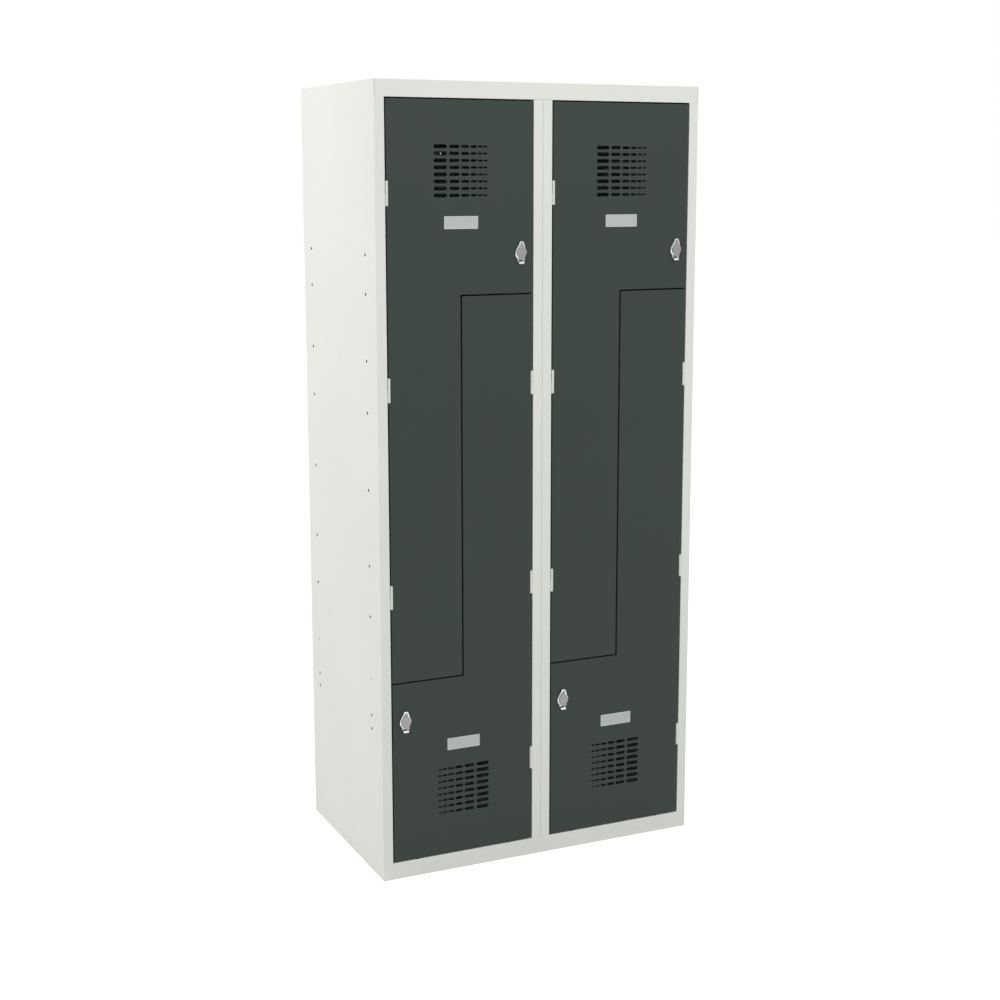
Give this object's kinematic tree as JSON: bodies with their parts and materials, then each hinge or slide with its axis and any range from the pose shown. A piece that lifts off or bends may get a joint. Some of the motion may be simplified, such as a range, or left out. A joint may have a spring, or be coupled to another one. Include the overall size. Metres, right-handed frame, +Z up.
{
  "type": "z locker",
  "caption": "Tall sheet-steel locker with interlocking L-shaped doors, vent slots, turning padlock latches, stepped partitions and coat rails.",
  "frame": {"origin": "on the floor, under the middle of the whole object's box, latches included", "axes": "+Z up along the locker's height, +Y to the back, +X to the right as seen from the front"},
  "size_m": [0.8, 0.4982, 1.8],
  "materials": {
    "white_powder_coat": "satin off-white powder coat",
    "dark_powder_coat": "satin dark grey-green powder coat",
    "chrome_plate": "bright and satin chrome on a zinc casting",
    "zinc_plated_steel": "bright zinc plating",
    "label_plate": "blank light grey card in a clear holder"
  },
  "bodies": {
    "cabinet": {"back_panel": "white_powder_coat", "bottom_panel": "white_powder_coat", "left_centre_panel": "white_powder_coat", "left_lower_coat_rail": "zinc_plated_steel", "left_lower_door_hinge_1_frame_leaf": "white_powder_coat", "left_lower_door_hinge_2_frame_leaf": "white_powder_coat", "left_lower_door_hinge_3_frame_leaf": "white_powder_coat", "left_partition": "white_powder_coat", "left_side_panel": "white_powder_coat", "left_upper_coat_rail": "zinc_plated_steel", "left_upper_door_hinge_1_frame_leaf": "white_powder_coat", "left_upper_door_hinge_2_frame_leaf": "white_powder_coat", "left_upper_door_hinge_3_frame_leaf": "white_powder_coat", "right_centre_panel": "white_powder_coat", "right_lower_coat_rail": "zinc_plated_steel", "right_lower_door_hinge_1_frame_leaf": "white_powder_coat", "right_lower_door_hinge_2_frame_leaf": "white_powder_coat", "right_lower_door_hinge_3_frame_leaf": "white_powder_coat", "right_partition": "white_powder_coat", "right_side_panel": "white_powder_coat", "right_upper_coat_rail": "zinc_plated_steel", "right_upper_door_hinge_1_frame_leaf": "white_powder_coat", "right_upper_door_hinge_2_frame_leaf": "white_powder_coat", "right_upper_door_hinge_3_frame_leaf": "white_powder_coat", "top_panel": "white_powder_coat"},
    "left_upper_door": {"left_upper_door": "dark_powder_coat", "left_upper_door_hinge_1_door_leaf": "white_powder_coat", "left_upper_door_hinge_2_door_leaf": "white_powder_coat", "left_upper_door_hinge_3_door_leaf": "white_powder_coat", "left_upper_door_label": "label_plate", "left_upper_door_latch_body": "chrome_plate"},
    "left_upper_door_latch": {"left_upper_door_latch_cam": "zinc_plated_steel", "left_upper_door_latch_knob": "chrome_plate"},
    "left_lower_door": {"left_lower_door": "dark_powder_coat", "left_lower_door_hinge_1_door_leaf": "white_powder_coat", "left_lower_door_hinge_2_door_leaf": "white_powder_coat", "left_lower_door_hinge_3_door_leaf": "white_powder_coat", "left_lower_door_label": "label_plate", "left_lower_door_latch_body": "chrome_plate"},
    "left_lower_door_latch": {"left_lower_door_latch_cam": "zinc_plated_steel", "left_lower_door_latch_knob": "chrome_plate"},
    "right_upper_door": {"right_upper_door": "dark_powder_coat", "right_upper_door_hinge_1_door_leaf": "white_powder_coat", "right_upper_door_hinge_2_door_leaf": "white_powder_coat", "right_upper_door_hinge_3_door_leaf": "white_powder_coat", "right_upper_door_label": "label_plate", "right_upper_door_latch_body": "chrome_plate"},
    "right_upper_door_latch": {"right_upper_door_latch_cam": "zinc_plated_steel", "right_upper_door_latch_knob": "chrome_plate"},
    "right_lower_door": {"right_lower_door": "dark_powder_coat", "right_lower_door_hinge_1_door_leaf": "white_powder_coat", "right_lower_door_hinge_2_door_leaf": "white_powder_coat", "right_lower_door_hinge_3_door_leaf": "white_powder_coat", "right_lower_door_label": "label_plate", "right_lower_door_latch_body": "chrome_plate"},
    "right_lower_door_latch": {"right_lower_door_latch_cam": "zinc_plated_steel", "right_lower_door_latch_knob": "chrome_plate"}
  },
  "joints": [
    {"name": "left_upper_door_hinge", "type": "hinge", "parent": "cabinet", "child": "left_upper_door", "pos_m": [-0.3733, -0.24085, 0.90125], "axis": [0, 0, -1], "range_deg": [0, 110]},
    {"name": "left_upper_door_latch_turn", "type": "hinge", "parent": "left_upper_door", "child": "left_upper_door_latch", "pos_m": [-0.0557, -0.24085, 1.42755], "axis": [0, -1, 0], "range_deg": [0, 90]},
    {"name": "left_lower_door_hinge", "type": "hinge", "parent": "cabinet", "child": "left_lower_door", "pos_m": [-0.0267, -0.24085, 0.90125], "axis": [0, 0, 1], "range_deg": [0, 90]},
    {"name": "left_lower_door_latch_turn", "type": "hinge", "parent": "left_lower_door", "child": "left_lower_door_latch", "pos_m": [-0.3443, -0.24085, 0.37495], "axis": [0, 1, 0], "range_deg": [0, 90]},
    {"name": "right_upper_door_hinge", "type": "hinge", "parent": "cabinet", "child": "right_upper_door", "pos_m": [0.0267, -0.24085, 0.90125], "axis": [0, 0, -1], "range_deg": [0, 90]},
    {"name": "right_upper_door_latch_turn", "type": "hinge", "parent": "right_upper_door", "child": "right_upper_door_latch", "pos_m": [0.3443, -0.24085, 1.42755], "axis": [0, -1, 0], "range_deg": [0, 90]},
    {"name": "right_lower_door_hinge", "type": "hinge", "parent": "cabinet", "child": "right_lower_door", "pos_m": [0.3733, -0.24085, 0.90125], "axis": [0, 0, 1], "range_deg": [0, 110]},
    {"name": "right_lower_door_latch_turn", "type": "hinge", "parent": "right_lower_door", "child": "right_lower_door_latch", "pos_m": [0.0557, -0.24085, 0.37495], "axis": [0, 1, 0], "range_deg": [0, 90]}
  ]
}
